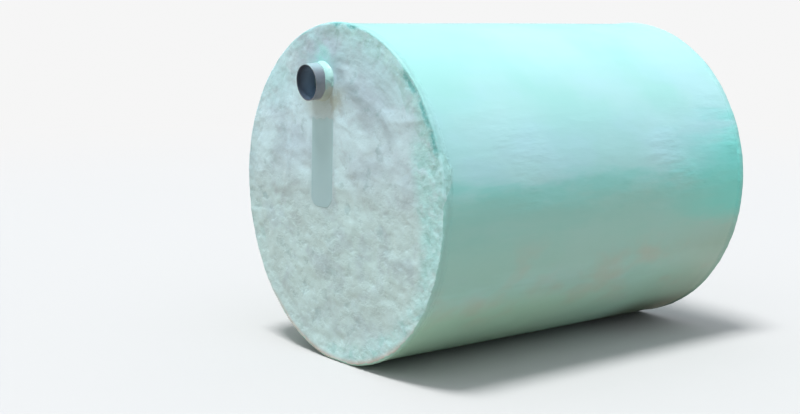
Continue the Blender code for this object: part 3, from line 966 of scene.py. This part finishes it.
def pipe_finish(end):
    """Grey pipe: satin outside with fine lengthwise draw lines, dust at the root, and a paler,
    bluer top that is painted sky light. Inside it is painted shade: darkest near the mouth, slate
    further in."""
    made = Finish(end.label + " pipe")
    inside = made.remap(made.mark("inside"), 0.5, 1.0)
    cloud = made.remap(made.noise(0.05, 4, 0.6), 0.35, 0.7)
    tone = made.mix(made.times(cloud, 0.5), PIPE_GREY, PIPE_WORN)
    along = made.math("ABSOLUTE", made.axis("X"))
    dusty = made.remap(along, Tank.face + 0.05, Tank.face + 0.01)
    tone = made.mix(made.times(dusty, 0.35), tone, GLASS_GREY)
    # Painted sky light: the stub's upper side turns pale and bluish
    above = made.remap(made.axis("Z"), end.pipe_z + 0.035, end.pipe_z + 0.080)
    tone = made.mix(made.times(above, 0.8), tone, PIPE_TOP_LIGHT)
    # Painted shade in the bore: dark near the mouth, where the sun would reach, slate further in
    depth = made.remap(along, end.mouth - 0.01, end.mouth - 0.07)
    tone = made.mix(inside, tone, made.mix(depth, BORE_DARK, BORE_SLATE))
    lines = made.noise(0.003, 2, 0.5, made.turned(scale=(0.05, 1, 1)))
    normal = made.bump(lines, 0.10 * MM)
    return made.wear(base=tone, roughness=made.remap(cloud, 0, 1, 0.34, 0.48), normal=normal)


def baffle_finish(end):
    """Bare glass laminate seen only down the pipe: greenish, streaked and damp."""
    made = Finish(end.label + " inner laminate")
    tone, gloss, normal = laminate(made, end)
    streak = made.remap(made.noise(0.05, 4, 0.6, made.turned(scale=(1, 1, 0.15))), 0.4, 0.7)
    tone = made.mix(made.times(streak, 0.5), tone, BAFFLE_DAMP)
    return made.wear(base=tone, roughness=gloss, normal=normal)


def dress_end(end, smooth):
    end_wall(end, laminate_finish(end))
    corner_bond(end, corner_finish(end))
    pipe_stub(end, pipe_finish(end))
    pipe_collar(end, collar_finish(end))
    strip(end, smooth)
    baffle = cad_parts[end.label + "_baffle"]
    baffle.data.materials.clear()
    baffle.data.materials.append(baffle_finish(end))


def plain_finish(name, value, roughness):
    made = Finish(name, roughness)
    made.shader.inputs["Base Color"].default_value = colour(value)
    return made.material


def round_sheet(name, finish, radii, heights):
    """A part of the stage: a sheet turned about the upright line through the origin, from its
    middle outwards."""
    angle = around(96)[:, None]
    radius = np.array(radii)
    grid = np.stack([
        np.cos(angle) * radius,
        np.sin(angle) * radius,
        np.array(heights) + 0 * angle,
    ], -1)
    mesh = bpy.data.meshes.new(name)
    faces = lattice(grid.shape[0], grid.shape[1], True, False)
    mesh.from_pydata(grid.reshape(-1, 3).tolist(), [], faces.tolist())
    mesh.shade_smooth()
    mesh.materials.append(finish)
    made = bpy.data.objects.new(name, mesh)
    bpy.context.scene.collection.objects.link(made)
    return made


def backdrop_finish():
    """A pale matt floor that turns into an even glow further out, so that no horizon shows."""
    made = Finish("pale backdrop", 0.9)
    flat = made.add("ShaderNodeVectorMath", {0: made.place}, operation="LENGTH").outputs["Value"]
    far = made.remap(flat, 4.0, 14.0)
    tone = made.mix(far, FLOOR_COLOUR, (0.0, 0.0, 0.0))
    made.shader.inputs["Emission Color"].default_value = (1, 1, 1, 1)
    made.shader.inputs["Specular IOR Level"].default_value = 0
    glow = made.times(far, BACKDROP_GLOW)
    made.tree.links.new(glow, made.shader.inputs["Emission Strength"])
    return made.wear(base=tone)


def stage():
    """A pale backdrop for the eye alone, and a dull sheet just under it that the tank's underside
    and gloss pick up instead."""
    rise = np.linspace(0, math.pi / 2, 9)
    radii = [0.001, 1.5, 3, 5, 8, 12, 20, *(30 + 10 * np.sin(rise)), 40]
    heights = [-0.2 * MM] * 7 + [*(10 - 10 * np.cos(rise)), 45]
    backdrop = round_sheet("backdrop", backdrop_finish(), radii, heights)
    for ray in ("diffuse", "glossy", "transmission", "shadow"):
        setattr(backdrop, "visible_" + ray, False)
    dull = plain_finish("dull ground", GROUND_COLOUR, 0.9)
    ground = round_sheet("ground", dull, [0.001, 2, 8, 60], [-1.0 * MM] * 4)
    ground.visible_camera = False


def sky():
    """A pale surround that dims towards and below the horizon."""
    world = bpy.data.worlds.new("studio")
    world.use_nodes = True
    tree = world.node_tree
    way = tree.nodes.new("ShaderNodeTexCoord").outputs["Generated"]
    split = tree.nodes.new("ShaderNodeSeparateXYZ")
    tree.links.new(way, split.inputs["Vector"])
    rising = tree.nodes.new("ShaderNodeMapRange")
    rising.interpolation_type = "SMOOTHSTEP"
    rising.inputs[1].default_value = SKY_FROM
    rising.inputs[2].default_value = SKY_TO
    tree.links.new(split.outputs["Z"], rising.inputs["Value"])
    shade = tree.nodes.new("ShaderNodeMix")
    shade.data_type = "RGBA"
    shade.inputs[6].default_value = colour(SKY_LOW)
    shade.inputs[7].default_value = colour(SKY_HIGH)
    tree.links.new(rising.outputs["Result"], shade.inputs["Factor"])
    tree.links.new(shade.outputs[2], tree.nodes["Background"].inputs["Color"])
    bpy.context.scene.world = world


def key_light():
    """One broad, soft light from high up, leaning a little."""
    key = bpy.data.lights.new("key", "SUN")
    key.energy = KEY_STRENGTH
    key.angle = math.radians(KEY_SPREAD)
    lamp = bpy.data.objects.new("key", key)
    lamp.rotation_euler = (0, math.radians(-KEY_LEAN), 0)
    bpy.context.scene.collection.objects.link(lamp)


def camera():
    data = bpy.data.cameras.new("camera")
    data.lens = CAMERA_LENS
    data.sensor_width = 36
    made = bpy.data.objects.new("camera", data)
    made.location = CAMERA_PLACE
    made.rotation_euler = (math.radians(CAMERA_TILT), 0, math.radians(CAMERA_YAW))
    bpy.context.scene.collection.objects.link(made)
    bpy.context.scene.camera = made
    bpy.context.scene.view_settings.view_transform = "Standard"


def main():
    camera()
    stage()
    sky()
    key_light()
    shell_skin(gelcoat_finish())
    smooth = strip_finish()
    for label, side in (("inlet", -1), ("outlet", 1)):
        dress_end(End(label, side), smooth)


main()
